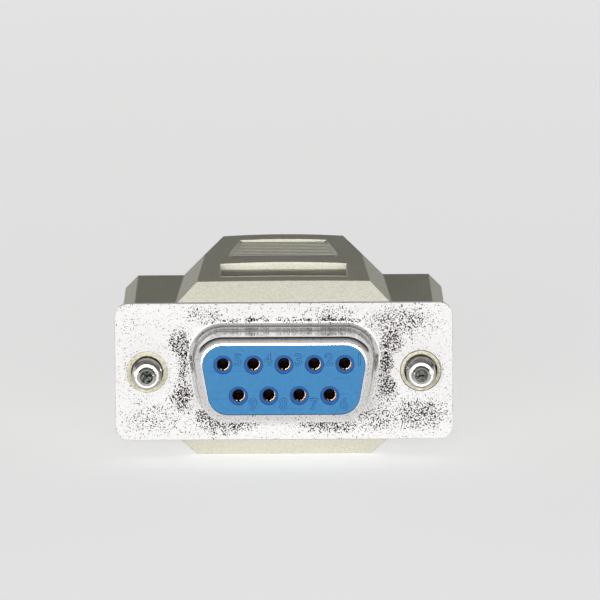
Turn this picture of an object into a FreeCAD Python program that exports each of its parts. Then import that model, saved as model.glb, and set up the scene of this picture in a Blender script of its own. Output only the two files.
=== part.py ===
import FreeCAD, Part
import math
import os
import re
import Sketcher

# Nine-way D-shaped socket connector with a moulded hood, as it sits on the end of a serial cable.
# The origin is the centre of the flange's front face. -Y points to the mating plug, +Y to the
# cable and +Z up. The lower flat of the hood is what it rests on. All lengths are in mm.

SIZES = {
    # pressed steel shells
    "sheet_thickness": 0.4,
    "shell_width": 16.33,
    "shell_height": 7.9,
    "shell_corner": 2.6,
    "shell_lean": 10,
    "shell_reach": 6.1,
    "shell_root": 0.8,
    "lip_width": 0.78,
    "lip_flat": 0.02,
    "screw_web": 4.33,
    "flange_hole": 3.76,
    "flange_margin": 2.91,
    "flange_ledge": 2.325,
    "flange_corner": 1.2,
    "collar_step": 1.475,
    "collar_rise": 1.41,
    "collar_corner": 3.4,
    "collar_reach": 4.4,
    # insulators
    "insulator_gap": 0.03,
    "face_setback": 0.12,
    "base_thickness": 1.1,
    "entry_hole": 1.16,
    "entry_mouth": 1.74,
    "mouth_depth": 0.3,
    "entry_web": 0.8,
    # contacts
    "contact_pitch": 2.76,
    "row_spacing": 2.84,
    "contact_gap": 0.04,
    "contact_diameter": 1.6,
    "contact_bore": 1.04,
    "contact_depth": 5,
    "slot_width": 0.18,
    "slot_length": 3.2,
    "shoulder_diameter": 2.1,
    "shoulder_length": 0.7,
    "cup_diameter": 1.7,
    "cup_bore": 1.15,
    "cup_length": 3,
    "cup_opening": 2.2,
    "cup_floor": 0.3,
    # inner moulding round the solder cups
    "moulding_gap": 0.02,
    "core_side_step": 0.14,
    "core_top_step": 0.16,
    "core_chamfer": 1.5,
    "core_side_taper": 4,
    "core_top_taper": 1,
    "core_length": 22.8,
    # hood
    "hood_top_wall": 2.78,
    "hood_side_wall": 1.48,
    "middle_inset": 0.63,
    "rear_inset": 2.26,
    "hood_chamfer": 3,
    "hood_straight": 22.7,
    "hood_taper": 14.2,
    "rear_bevel": 1.7,
    "rear_bevel_inset": 0.85,
    "rest_trim": 0.03,
    "front_bevel_run": 1.63,
    "front_bevel_rise": 1.53,
    "crown_front": 0.03,
    "crown_middle": 0.35,
    "crown_rear": 0.17,
    "ear_side_step": 0.555,
    "ear_top_step": 0.275,
    "ear_chamfer": 1.2,
    "grip_half_width": 5.9,
    "grip_start": 5,
    "grip_length": 9.3,
    "grip_depth": 0.5,
    "label_near_half": 5.17,
    "label_far_half": 4.01,
    "label_start": 21.2,
    "label_length": 12.9,
    "label_depth": 0.1,
    "outlet_diameter": 10.6,
    "outlet_length": 3,
    "outlet_chamfer": 0.6,
    "cable_bore": 6.2,
    # captive screws
    "collar_fit": 0.03,
    "collar_setback": 0.02,
    "screw_bore": 3,
    "neck_length": 2.7,
    "screw_forward": 2,
    "screw_back": 4,
    "stop_gap": 0.1,
    "ring_diameter": 3.6,
    "ring_thickness": 0.8,
    "ring_fit": 0.03,
    "ring_mouth": 1.3,
    "ring_chamber": 3.9,
    "rear_bore": 3.3,
    "thread_diameter": 2.84,
    "thread_length": 2.85,
    "screw_reach": 3.7,
    "point_diameter": 1.83,
    "point_length": 0.85,
    "point_chamfer": 0.35,
    "thread_lead_in": 0.25,
    "shank_diameter": 2.2,
    "groove_diameter": 1.7,
    "shank_grip": 9,
    # thumb knobs
    "knob_diameter": 5.4,
    "knob_length": 12,
    "knob_chamfer": 0.4,
    "knob_clearance": 0.4,
    "knob_fit": 0.01,
    "spigot_fit": 0.05,
    "spigot_length": 4,
    "flute_diameter": 0.8,
    "flute_count": 16,
    "driver_slot_width": 0.9,
    "driver_slot_depth": 1.2,
}
TINY = 1e-6
SAME_PLACE = 1e-4
# how far a cut runs past the face that it opens
PAST = "1"
# the contact number that would stand in the middle of each row
TOP_MIDDLE = 3
LOWER_MIDDLE = 7.5

# Half sizes across the axis, from the shroud outwards
SCREW_SIDE = "(shell_width / 2 + screw_web)"
FLANGE_SIDE = f"({SCREW_SIDE} + flange_margin)"
FLANGE_TOP = "(shell_height / 2 + flange_ledge)"
COLLAR_SIDE = "(shell_width / 2 + collar_step)"
COLLAR_TOP = "(shell_height / 2 + collar_rise)"
CORE_SIDE = f"({COLLAR_SIDE} - core_side_step)"
CORE_TOP = f"({COLLAR_TOP} - core_top_step)"
HOOD_SIDE = f"({CORE_SIDE} + hood_side_wall)"
HOOD_TOP = f"({CORE_TOP} + hood_top_wall)"
EAR_SIDE = f"({FLANGE_SIDE} - ear_side_step)"
EAR_TOP = f"({FLANGE_TOP} - ear_top_step)"

# Places along the axis, from the flange's front face towards the cable
FLANGE_BACK = "(2 * sheet_thickness)"
COLLAR_END = f"({FLANGE_BACK} + collar_reach)"
BASE_FRONT = "(sheet_thickness + insulator_gap)"
BASE_BACK = "(sheet_thickness + base_thickness)"
FACE = "(face_setback - shell_reach)"
NOSE_BACK = "(sheet_thickness + insulator_gap - shell_reach)"
CONTACT_FRONT = f"({FACE} + entry_web + contact_gap)"
SHOULDER_FRONT = f"({BASE_BACK} - shoulder_length)"
CUP_FRONT = f"({COLLAR_END} + contact_gap)"
CUP_END = f"({CUP_FRONT} + cup_length)"
CORE_FRONT = f"({COLLAR_END} + moulding_gap)"
CORE_END = f"({CORE_FRONT} + core_length)"
HOOD_FRONT = f"({FLANGE_BACK} + moulding_gap)"
EAR_BACK = f"({HOOD_FRONT} + hood_straight)"
TAPER_END = f"({EAR_BACK} + hood_taper)"
HOOD_BACK = f"({TAPER_END} + rear_bevel)"
OUTLET_END = f"({HOOD_BACK} + outlet_length)"
CHAMBER_FRONT = f"({HOOD_FRONT} + neck_length)"
RING_FRONT = f"({CHAMBER_FRONT} + screw_forward + 2 * stop_gap)"
RING_BACK = f"({RING_FRONT} + ring_thickness)"
CHAMBER_BACK = f"({RING_BACK} + screw_back + stop_gap)"
KNOB_FRONT = f"({EAR_BACK} + screw_forward + stop_gap)"
KNOB_BACK = f"({KNOB_FRONT} + knob_length)"
SPIGOT_FRONT = f"({KNOB_FRONT} - spigot_length)"
SHANK_END = f"({KNOB_FRONT} + shank_grip)"
THREAD_FRONT = "(point_length - screw_reach)"
THREAD_BACK = f"({THREAD_FRONT} + thread_length)"
LEAN = "(shell_lean * 1 deg)"
SQUARE = "(0 * 1 deg)"

doc = FreeCAD.newDocument("cable_socket")
sheet = doc.addObject("Spreadsheet::Sheet", "Sizes")


def write_sizes():
    """Put each driving size in its own cell, with its name as the alias."""
    for row, (alias, size) in enumerate(SIZES.items(), start=1):
        sheet.set(f"A{row}", alias.replace("_", " "))
        sheet.set(f"B{row}", str(size))
        sheet.setAlias(f"B{row}", alias)
    doc.recompute()


def cells(formula):
    """The formula with each size's name pointing at its cell."""
    return re.sub(r"[a-z_]+", lambda word: f"Sizes.{word[0]}" if word[0] in SIZES else word[0], formula)


def value(formula):
    """What a formula comes to now, as a plain number."""
    result = sheet.evalExpression(cells(formula))
    return float(getattr(result, "Value", result))


# Sketches

def sketch_on(body, name, role, offset="0"):
    """A sketch on one of the body's own origin planes, moved along the plane's normal."""
    plane = next(feature for feature in body.Origin.OriginFeatures if feature.Role == role)
    sketch = body.newObject("Sketcher::SketchObject", name)
    sketch.AttachmentSupport = [(plane, "")]
    sketch.MapMode = "FlatFace"
    sketch.setExpression("AttachmentOffset.Base.z", cells(offset))
    return sketch


def sketch_across(body, name, depth):
    """A sketch square to the axis, at a depth behind the flange's front face: X across, Z up."""
    return sketch_on(body, name, "XZ_Plane", f"-({depth})")


def pin(sketch, geometry, point, across, up):
    """Hold one point of a sketch at the place that two formulas give."""
    for kind, formula, axis in (("DistanceX", across, -2), ("DistanceY", up, -1)):
        distance = value(formula)
        if abs(distance) < TINY:
            sketch.addConstraint(Sketcher.Constraint("PointOnObject", geometry, point, axis))
            continue
        ends = (-1, 1, geometry, point) if distance > 0 else (geometry, point, -1, 1)
        index = sketch.addConstraint(Sketcher.Constraint(kind, *ends, abs(distance)))
        sign = "" if distance > 0 else "-"
        sketch.setExpression(f"Constraints[{index}]", cells(f"{sign}({formula})"))


def point_at(across, up):
    return FreeCAD.Vector(value(across), value(up), 0)


def set_radius(sketch, geometry, radius):
    index = sketch.addConstraint(Sketcher.Constraint("Radius", geometry, value(radius)))
    sketch.setExpression(f"Constraints[{index}]", cells(radius))


def polygon(sketch, corners, crown=None):
    """A closed outline through the corners. With a crown, its first side is an arc that rises by it."""
    first = sketch.GeometryCount
    count = len(corners)
    places = [point_at(*corner) for corner in corners]
    sides = [Part.LineSegment(start, end) for start, end in zip(places, places[1:] + places[:1])]
    if crown:
        half, rise = value(corners[1][0]), value(crown)
        radius = (half**2 + rise**2) / (2 * rise)
        centre = (places[0] + places[1]) / 2 - FreeCAD.Vector(0, radius - rise, 0)
        whole = Part.Circle(centre, FreeCAD.Vector(0, 0, 1), radius)
        sides[0] = Part.ArcOfCircle(whole, whole.parameter(places[1]), whole.parameter(places[0]))
    sketch.addGeometry(sides, False)
    # an arc runs anticlockwise, so the arc's first point is the outline's second corner
    heads = [2 if crown and number == 0 else 1 for number in range(count)]
    for number, corner in enumerate(corners):
        following = (number + 1) % count
        tail = 3 - heads[number]
        joint = (first + number, tail, first + following, heads[following])
        sketch.addConstraint(Sketcher.Constraint("Coincident", *joint))
        pin(sketch, first + number, heads[number], *corner)
    if crown:
        half_width = corners[1][0]
        set_radius(sketch, first, f"(({half_width})^2 + ({crown})^2) / (2 * ({crown}))")


def circle(sketch, diameter, across="0", up="0"):
    place = point_at(across, up)
    sketch.addGeometry(Part.Circle(place, FreeCAD.Vector(0, 0, 1), value(diameter) / 2), False)
    number = sketch.GeometryCount - 1
    pin(sketch, number, 3, across, up)
    set_radius(sketch, number, f"({diameter}) / 2")


def rounded(sketch, width, height, corner, lean=SQUARE):
    """A rounded outline whose two sides lean inwards towards the bottom: a D shape, or a rectangle."""
    angle = math.radians(value(lean))
    radius = value(corner)
    top = f"({width}) / 2 - ({corner})"
    bottom = f"{top} - (({height}) - 2 * ({corner})) * tan({lean})"
    rise = f"({height}) / 2 - ({corner})"
    # anticlockwise from the upper right corner: its place, and where its arc starts and ends
    quarter = math.pi / 2
    arcs = [
        (top, rise, -angle, quarter),
        (f"-({top})", rise, quarter, math.pi + angle),
        (f"-({bottom})", f"-({rise})", math.pi + angle, 3 * quarter),
        (bottom, f"-({rise})", 3 * quarter, 4 * quarter - angle),
    ]
    first = sketch.GeometryCount
    pieces = []
    for across, up, start, end in arcs:
        whole = Part.Circle(point_at(across, up), FreeCAD.Vector(0, 0, 1), radius)
        pieces.append(Part.ArcOfCircle(whole, start, end))
    for number, arc in enumerate(list(pieces)):
        pieces.append(Part.LineSegment(arc.EndPoint, pieces[(number + 1) % 4].StartPoint))
    sketch.addGeometry(pieces, False)
    for number, (across, up, start, end) in enumerate(arcs):
        arc, side, following = first + number, first + 4 + number, first + (number + 1) % 4
        sketch.addConstraint(Sketcher.Constraint("Tangent", arc, 2, side, 1))
        sketch.addConstraint(Sketcher.Constraint("Tangent", side, 2, following, 1))
        pin(sketch, arc, 3, across, up)
        set_radius(sketch, arc, corner)


def rectangle(sketch, left, right, low, high):
    polygon(sketch, [(left, low), (right, low), (right, high), (left, high)])


def octagon(sketch, side, top, chamfer, crown=None):
    """A rectangle with cut corners, from its half sizes, its top side crowned where a rise is given."""
    flat, shoulder = f"({side} - {chamfer})", f"({top} - {chamfer})"
    polygon(sketch, [
        (f"-{flat}", top),
        (flat, top),
        (side, shoulder),
        (side, f"-{shoulder}"),
        (flat, f"-{top}"),
        (f"-{flat}", f"-{top}"),
        (f"-{side}", f"-{shoulder}"),
        (f"-{side}", shoulder),
    ], crown)


# Features

def pad(body, sketch, length, to_cable=True):
    feature = body.newObject("PartDesign::Pad", f"{sketch.Name}_pad")
    feature.Profile = sketch
    feature.Reversed = to_cable
    feature.setExpression("Length", cells(length))
    return feature


def pocket(body, sketch, length, reverse=False, both_ways=False):
    """A cut along the sketch's normal, backwards unless reversed: towards the cable, or downwards."""
    feature = body.newObject("PartDesign::Pocket", f"{sketch.Name}_pocket")
    feature.Profile = sketch
    feature.Reversed = reverse
    feature.Midplane = both_ways
    feature.setExpression("Length", cells(length))
    return feature


def turn(body, name, profile):
    """A solid turned about the Y axis from (radius, depth) corners."""
    sketch = sketch_on(body, name, "XY_Plane")
    polygon(sketch, profile)
    feature = body.newObject("PartDesign::Revolution", f"{name}_turned")
    feature.Profile = sketch
    feature.ReferenceAxis = (sketch, ["V_Axis"])
    feature.Angle = 360
    return feature


def soften(body, kind, name, length, wanted):
    """A fillet or a chamfer on the edges of the body so far that the test picks."""
    doc.recompute()
    base = body.Tip
    names = [f"Edge{n}" for n, edge in enumerate(base.Shape.Edges, start=1) if wanted(edge)]
    if not names:
        raise RuntimeError(f"{body.Label}: {name} finds no edges")
    feature = body.newObject(f"PartDesign::{kind}", name)
    feature.Base = (base, names)
    feature.setExpression("Radius" if kind == "Fillet" else "Size", cells(length))
    return feature


def lies_at(edge, depth):
    """Does the whole edge lie in the plane at this depth?"""
    box = edge.BoundBox
    return max(abs(box.YMin - value(depth)), abs(box.YMax - value(depth))) < SAME_PLACE


def outlines(edge, depth, width):
    """Is the edge part of the outline of this width, in the plane at this depth?"""
    reach = max(abs(edge.BoundBox.XMin), abs(edge.BoundBox.XMax))
    return lies_at(edge, depth) and reach < value(width) / 2 + TINY


def new_body(name, side="0", up="0"):
    body = doc.addObject("PartDesign::Body", name)
    body.setExpression("Placement.Base.x", cells(side))
    body.setExpression("Placement.Base.z", cells(up))
    return body


# Pressed steel shells

def flange(body, name, depth):
    """The plate that both shells share, with its two screw holes."""
    sketch = sketch_across(body, name, depth)
    rounded(sketch, f"2 * {FLANGE_SIDE}", f"2 * {FLANGE_TOP}", "flange_corner")
    both_sides(sketch, "flange_hole")
    pad(body, sketch, "sheet_thickness")


def shell_outline(body, name, depth, inset):
    """The D shape of the front shell, smaller all round by an inset."""
    sketch = sketch_across(body, name, depth)
    width, height = f"shell_width - 2 * {inset}", f"shell_height - 2 * {inset}"
    rounded(sketch, width, height, f"shell_corner - {inset}", LEAN)
    return sketch


def collar_outline(body, name, depth, inset):
    """The D shape of the rear shell's collar, smaller all round by an inset."""
    sketch = sketch_across(body, name, depth)
    width, height = f"2 * ({COLLAR_SIDE} - {inset})", f"2 * ({COLLAR_TOP} - {inset})"
    rounded(sketch, width, height, f"collar_corner - {inset}", LEAN)
    return sketch


def front_shell():
    """The flange with the D-shaped shroud drawn out of it, its rim turned in over the insulator."""
    body = new_body("front_shell")
    flange(body, "front_plate", "0")
    shroud = shell_outline(body, "shroud", "0", "0")
    pad(body, shroud, "shell_reach", to_cable=False)
    rim = "-shell_reach"
    soften(body, "Fillet", "rim_bend", "lip_width - lip_flat", lambda edge: lies_at(edge, rim))
    hollow = shell_outline(body, "hollow", "sheet_thickness", "sheet_thickness")
    pocket(body, hollow, "shell_reach", reverse=True)
    mouth = shell_outline(body, "rim_mouth", "0", "lip_width")
    pocket(body, mouth, "shell_reach + sheet_thickness", reverse=True)
    soften(body, "Fillet", "root_bend", "shell_root", lambda edge: outlines(edge, "0", "shell_width"))
    return body


def rear_shell():
    """The second plate with a wider collar drawn towards the cable round the rear insulator."""
    body = new_body("rear_shell")
    flange(body, "rear_plate", "sheet_thickness")
    collar = collar_outline(body, "collar", FLANGE_BACK, "0")
    pad(body, collar, "collar_reach")
    opening = collar_outline(body, "collar_opening", f"sheet_thickness - {PAST}", "sheet_thickness")
    pocket(body, opening, f"{COLLAR_END} + 2 * {PAST}")
    return body


# Insulators

def contact_places():
    """Each contact's number, its place across and up, and whether its cup opens downwards."""
    places = []
    for number in range(1, 6):
        places.append((number, f"({TOP_MIDDLE - number} * contact_pitch)", "(row_spacing / 2)", False))
    for number in range(6, 10):
        places.append((number, f"({LOWER_MIDDLE - number} * contact_pitch)", "(-row_spacing / 2)", True))
    return places


def contact_holes(body, name, depth, diameter, length):
    sketch = sketch_across(body, name, depth)
    for number, across, up, lower in contact_places():
        circle(sketch, diameter, across, up)
    pocket(body, sketch, length)


def front_insulator():
    """The blue block inside the shroud, with a mouth, an entry hole and a chamber for each contact."""
    body = new_body("insulator_front")
    inset = "(sheet_thickness + insulator_gap)"
    base = collar_outline(body, "insulator_base", BASE_FRONT, inset)
    pad(body, base, f"{BASE_BACK} - {BASE_FRONT}")
    block = shell_outline(body, "insulator_block", BASE_FRONT, inset)
    pad(body, block, f"{BASE_FRONT} - {NOSE_BACK}", to_cable=False)
    nose = shell_outline(body, "insulator_nose", NOSE_BACK, "(lip_width + insulator_gap)")
    pad(body, nose, f"{NOSE_BACK} - {FACE}", to_cable=False)
    contact_holes(body, "mouths", FACE, "entry_mouth", "mouth_depth")
    contact_holes(body, "entries", FACE, "entry_hole", f"entry_web + {PAST}")
    chamber, seat = "contact_diameter + 2 * contact_gap", "shoulder_diameter + 2 * contact_gap"
    chamber_front = f"({FACE} + entry_web)"
    contact_holes(body, "chambers", chamber_front, chamber, f"{BASE_BACK} - {chamber_front} + {PAST}")
    contact_holes(body, "seats", SHOULDER_FRONT, seat, f"shoulder_length + {PAST}")
    return body


def rear_insulator():
    """The block behind it, which traps the contacts' shoulders and lets the solder cups out."""
    body = new_body("insulator_rear")
    block = collar_outline(body, "rear_block", BASE_BACK, "(sheet_thickness + insulator_gap)")
    pad(body, block, f"{COLLAR_END} - {BASE_BACK}")
    through = f"{COLLAR_END} - {BASE_BACK} + {PAST}"
    contact_holes(body, "tail_holes", BASE_BACK, "contact_diameter + 2 * contact_gap", through)
    return body


# Contacts

def contact(number, across, up, lower):
    """A turned socket: two spring tines, a shoulder, and a solder cup open on its outer side."""
    body = new_body(f"contact_{number}", across, up)
    bore, barrel = "contact_bore / 2", "contact_diameter / 2"
    floor, cup_floor = f"({CONTACT_FRONT} + contact_depth)", f"({CUP_END} - cup_opening - cup_floor)"
    turn(body, "profile", [
        (bore, CONTACT_FRONT),
        (barrel, CONTACT_FRONT),
        (barrel, SHOULDER_FRONT),
        ("shoulder_diameter / 2", SHOULDER_FRONT),
        ("shoulder_diameter / 2", BASE_BACK),
        (barrel, BASE_BACK),
        (barrel, CUP_FRONT),
        ("cup_diameter / 2", CUP_FRONT),
        ("cup_diameter / 2", CUP_END),
        ("cup_bore / 2", CUP_END),
        ("cup_bore / 2", cup_floor),
        ("0", cup_floor),
        ("0", floor),
        (bore, floor),
    ])
    slot = sketch_on(body, "tine_slot", "XY_Plane")
    slot_end = f"{CONTACT_FRONT} + slot_length"
    rectangle(slot, "-slot_width / 2", "slot_width / 2", f"{CONTACT_FRONT} - {PAST}", slot_end)
    pocket(body, slot, f"contact_diameter + 2 * {PAST}", both_ways=True)
    opening = sketch_on(body, "cup_mouth", "XY_Plane")
    rectangle(opening, "-cup_diameter", "cup_diameter", f"{CUP_END} - cup_opening", f"{CUP_END} + {PAST}")
    pocket(body, opening, "cup_diameter", reverse=not lower)
    return body


# Mouldings

def section(body, name, depth, side, top, chamfer, crown=None):
    sketch = sketch_across(body, name, depth)
    octagon(sketch, side, top, chamfer, crown)
    return sketch


def core(body, kind, name, gap):
    """The tapered block of the inner moulding, or the space for it, larger all round by a gap."""
    side, top = f"({CORE_SIDE} + {gap})", f"({CORE_TOP} + {gap})"
    rear_side, rear_top = f"({side} - core_side_taper)", f"({top} - core_top_taper)"
    loft(body, kind, name, [
        section(body, f"{name}_front", CORE_FRONT, side, top, "core_chamfer"),
        section(body, f"{name}_rear", CORE_END, rear_side, rear_top, "core_chamfer"),
    ])


def loft(body, kind, name, sections):
    feature = body.newObject(f"PartDesign::{kind}", name)
    feature.Profile = sections[0]
    feature.Sections = sections[1:]
    feature.Ruled = True
    return feature


def inner_mould():
    """The first moulding, shot round the solder cups behind the rear shell."""
    body = new_body("inner_mould")
    core(body, "AdditiveLoft", "core", "0")
    cup_hole, depth = "cup_diameter + 2 * contact_gap", f"{CUP_END} - {CORE_FRONT} + contact_gap"
    contact_holes(body, "cup_holes", CORE_FRONT, cup_hole, depth)
    return body


def hood():
    """The outer moulding: a tapered octagonal body, two ears for the screws and the cable outlet."""
    body = new_body("hood")
    rear_side = f"({HOOD_SIDE} - rear_inset)"
    end_side, end_top = f"({rear_side} - rear_bevel_inset)", f"({HOOD_TOP} - rear_bevel)"
    stations = (
        ("hood_front", HOOD_FRONT, HOOD_SIDE, HOOD_TOP, "crown_front"),
        ("hood_middle", EAR_BACK, f"({HOOD_SIDE} - middle_inset)", HOOD_TOP, "crown_middle"),
        ("hood_rear", TAPER_END, rear_side, HOOD_TOP, "crown_rear"),
        ("hood_end", HOOD_BACK, end_side, end_top, "crown_rear"),
    )
    sections = []
    for name, depth, side, top, crown in stations:
        sections.append(section(body, name, depth, side, top, "hood_chamfer", crown))
    loft(body, "AdditiveLoft", "hood_body", sections)
    trim_rest(body)
    bevel_front(body)
    ears = section(body, "ears", HOOD_FRONT, EAR_SIDE, EAR_TOP, "ear_chamfer")
    pad(body, ears, "hood_straight")
    outlet = sketch_across(body, "outlet", HOOD_BACK)
    circle(outlet, "outlet_diameter")
    pad(body, outlet, "outlet_length")
    soften(body, "Chamfer", "outlet_edge", "outlet_chamfer", lambda edge: lies_at(edge, OUTLET_END))
    add_collars(body)
    cut_recesses(body)
    cut_screw_ways(body)
    cut_inside(body)
    return body


def both_sides(sketch, diameter):
    circle(sketch, diameter, SCREW_SIDE)
    circle(sketch, diameter, f"-{SCREW_SIDE}")


def trim_rest(body):
    """The true flat under the hood, which it lies on."""
    rest = sketch_on(body, "rest_flat", "XY_Plane", f"-({HOOD_TOP} - rest_trim)")
    rectangle(rest, f"-{HOOD_SIDE}", HOOD_SIDE, f"{HOOD_FRONT} - {PAST}", f"{HOOD_BACK} + {PAST}")
    pocket(body, rest, f"rest_trim + {PAST}")


def bevel_front(body):
    """The slopes that bring the top and the bottom down to the flange."""
    slope = "(front_bevel_run / front_bevel_rise)"
    front = f"({HOOD_FRONT} - {PAST} * {slope})"
    back = f"({HOOD_FRONT} + front_bevel_run + {PAST} * {slope})"
    low, high = f"({HOOD_TOP} - front_bevel_rise - {PAST})", f"({HOOD_TOP} + {PAST})"
    bevels = sketch_on(body, "front_bevels", "YZ_Plane")
    for sign in ("", "-"):
        polygon(bevels, [(front, f"{sign}{low}"), (back, f"{sign}{high}"), (front, f"{sign}{high}")])
    pocket(body, bevels, f"2 * {FLANGE_SIDE}", both_ways=True)


def add_collars(body):
    """The rings of plastic that fill the flange's holes round the screws."""
    collars = sketch_across(body, "collars", HOOD_FRONT)
    both_sides(collars, "flange_hole - 2 * collar_fit")
    pad(body, collars, f"{HOOD_FRONT} - collar_setback", to_cable=False)


def cut_recesses(body):
    """A finger grip on the top and the bottom, and a tapered label field on the top."""
    grip_start, label_start = f"({HOOD_FRONT} + grip_start)", f"({HOOD_FRONT} + label_start)"
    grip_floor, label_floor = f"({HOOD_TOP} - grip_depth)", f"({HOOD_TOP} - label_depth)"
    for name, floor, reverse in (("top_grip", grip_floor, True), ("bottom_grip", f"-{grip_floor}", False)):
        grip = sketch_on(body, name, "XY_Plane", floor)
        rectangle(grip, "-grip_half_width", "grip_half_width", grip_start, f"{grip_start} + grip_length")
        pocket(body, grip, f"grip_depth + {PAST}", reverse=reverse)
    label = sketch_on(body, "label_field", "XY_Plane", label_floor)
    label_end = f"({label_start} + label_length)"
    polygon(label, [
        ("-label_near_half", label_start), ("label_near_half", label_start),
        ("label_far_half", label_end), ("-label_far_half", label_end),
    ])
    pocket(body, label, f"label_depth + {PAST}", reverse=True)


def cut_screw_ways(body):
    """Neck, ring chamber and rear bore for each screw, and a scallop that clears each knob."""
    bore_start, scallop = f"({CHAMBER_BACK} - {PAST})", "knob_diameter + 2 * knob_clearance"
    ways = (
        ("screw_necks", f"-{PAST}", "screw_bore", f"{CHAMBER_FRONT} + 2 * {PAST}"),
        ("ring_chambers", CHAMBER_FRONT, "ring_chamber", f"{CHAMBER_BACK} - {CHAMBER_FRONT}"),
        ("rear_bores", bore_start, "rear_bore", f"{EAR_BACK} - {bore_start} + {PAST}"),
        ("knob_scallops", EAR_BACK, scallop, f"{HOOD_BACK} - {EAR_BACK} + {PAST}"),
    )
    for name, depth, diameter, length in ways:
        sketch = sketch_across(body, name, depth)
        both_sides(sketch, diameter)
        pocket(body, sketch, length)


def cut_inside(body):
    """The space that the rear shell's collar and the inner moulding fill, and the cable's way in."""
    collar = collar_outline(body, "collar_space", "(sheet_thickness)", "(-moulding_gap)")
    pocket(body, collar, f"{COLLAR_END} + moulding_gap - sheet_thickness")
    core(body, "SubtractiveLoft", "core_space", "moulding_gap")
    bore = sketch_across(body, "cable_way", f"({CORE_END} - {PAST})")
    circle(bore, "cable_bore")
    pocket(body, bore, f"{OUTLET_END} - {CORE_END} + 2 * {PAST}")


# Captive screws

def jackscrew(name, side):
    """A turned screw: dog point, threaded front, thin shank and a groove for its ring."""
    body = new_body(name, side)
    point, thread, shank = "point_diameter / 2", "thread_diameter / 2", "shank_diameter / 2"
    turn(body, "profile", [
        ("0", "-screw_reach"),
        (f"{point} - point_chamfer", "-screw_reach"),
        (point, "point_chamfer - screw_reach"),
        (point, THREAD_FRONT),
        (f"{thread} - thread_lead_in", THREAD_FRONT),
        (thread, f"{THREAD_FRONT} + thread_lead_in"),
        (thread, THREAD_BACK),
        (shank, THREAD_BACK),
        (shank, RING_FRONT),
        ("groove_diameter / 2", RING_FRONT),
        ("groove_diameter / 2", RING_BACK),
        (shank, RING_BACK),
        (shank, SHANK_END),
        ("0", SHANK_END),
    ])
    return body


def retaining_ring(name, side):
    """A spring C-ring in the screw's groove, which keeps the screw in the hood."""
    body = new_body(name, side)
    sketch = sketch_across(body, "ring", f"({RING_FRONT} + ring_fit)")
    circle(sketch, "ring_diameter")
    circle(sketch, "groove_diameter + 2 * ring_fit")
    pad(body, sketch, "ring_thickness - 2 * ring_fit")
    mouth = sketch_across(body, "ring_mouth", f"({RING_FRONT} - {PAST})")
    rectangle(mouth, "-ring_mouth / 2", "ring_mouth / 2", "-ring_diameter", "0")
    pocket(body, mouth, f"ring_thickness + 2 * {PAST}")
    return body


def thumb_knob(name, side):
    """A fluted plastic knob moulded on the shank, with a spigot in the hood and a driver slot."""
    body = new_body(name, side)
    head, spigot = "knob_diameter / 2", "rear_bore / 2 - spigot_fit"
    bore = "shank_diameter / 2 + knob_fit"
    bore_end = f"({SHANK_END} + knob_fit)"
    turn(body, "profile", [
        (bore, SPIGOT_FRONT),
        (spigot, SPIGOT_FRONT),
        (spigot, KNOB_FRONT),
        (f"{head} - knob_chamfer", KNOB_FRONT),
        (head, f"{KNOB_FRONT} + knob_chamfer"),
        (head, f"{KNOB_BACK} - knob_chamfer"),
        (f"{head} - knob_chamfer", KNOB_BACK),
        ("0", KNOB_BACK),
        ("0", bore_end),
        (bore, bore_end),
    ])
    flute = sketch_across(body, "flute", f"({KNOB_FRONT} - {PAST})")
    circle(flute, "flute_diameter", "knob_diameter / 2")
    cut = pocket(body, flute, f"knob_length + 2 * {PAST}")
    ring = body.newObject("PartDesign::PolarPattern", "flutes")
    ring.Originals = [cut]
    ring.Axis = (next(feature for feature in body.Origin.OriginFeatures if feature.Role == "Y_Axis"), [""])
    ring.Angle = 360
    ring.setExpression("Occurrences", cells("flute_count"))
    body.Tip = ring
    slot = sketch_across(body, "driver_slot", f"({KNOB_BACK} - driver_slot_depth)")
    rectangle(slot, "-knob_diameter", "knob_diameter", "-driver_slot_width / 2", "driver_slot_width / 2")
    pocket(body, slot, f"driver_slot_depth + {PAST}")
    return body


def check_all():
    """Stop if any feature failed or any sub-part isn't one valid solid."""
    for item in doc.Objects:
        if "Invalid" in item.State or "Error" in item.State:
            raise RuntimeError(f"{item.Name} failed: {item.State}")
    for item in parts:
        if item.Shape.isNull() or not item.Shape.isValid() or len(item.Shape.Solids) != 1:
            raise RuntimeError(f"{item.Label} is not one valid solid")


write_sizes()
parts = [front_shell(), rear_shell(), front_insulator(), rear_insulator(), inner_mould(), hood()]
for place in contact_places():
    parts.append(contact(*place))
for hand, side in (("left", f"-{SCREW_SIDE}"), ("right", SCREW_SIDE)):
    parts.append(jackscrew(f"jackscrew_{hand}", side))
    parts.append(retaining_ring(f"retaining_ring_{hand}", side))
    parts.append(thumb_knob(f"thumb_knob_{hand}", side))
doc.recompute()
check_all()
os.makedirs("parts", exist_ok=True)
for item in parts:
    item.Shape.exportStep(f"parts/{item.Label}.step")
    print(f"{item.Label}: {item.Shape.Volume:.2f} mm3")
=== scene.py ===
import math

import bmesh
import bpy
from mathutils import Matrix, Vector


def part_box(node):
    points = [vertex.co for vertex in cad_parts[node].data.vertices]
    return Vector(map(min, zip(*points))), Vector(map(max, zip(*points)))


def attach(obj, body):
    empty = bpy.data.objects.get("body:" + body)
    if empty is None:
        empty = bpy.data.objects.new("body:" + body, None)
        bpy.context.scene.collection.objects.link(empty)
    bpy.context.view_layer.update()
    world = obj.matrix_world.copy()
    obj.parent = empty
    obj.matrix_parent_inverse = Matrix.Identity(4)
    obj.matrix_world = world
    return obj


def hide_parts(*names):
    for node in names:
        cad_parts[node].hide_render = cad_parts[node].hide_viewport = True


# Looks of a nine-way D-shaped socket connector with a moulded hood. Lengths are in metres, in the
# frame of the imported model: the origin is the centre of the flange's front face, -Y points to the
# mating plug, +Y to the cable and +Z up.

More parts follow.
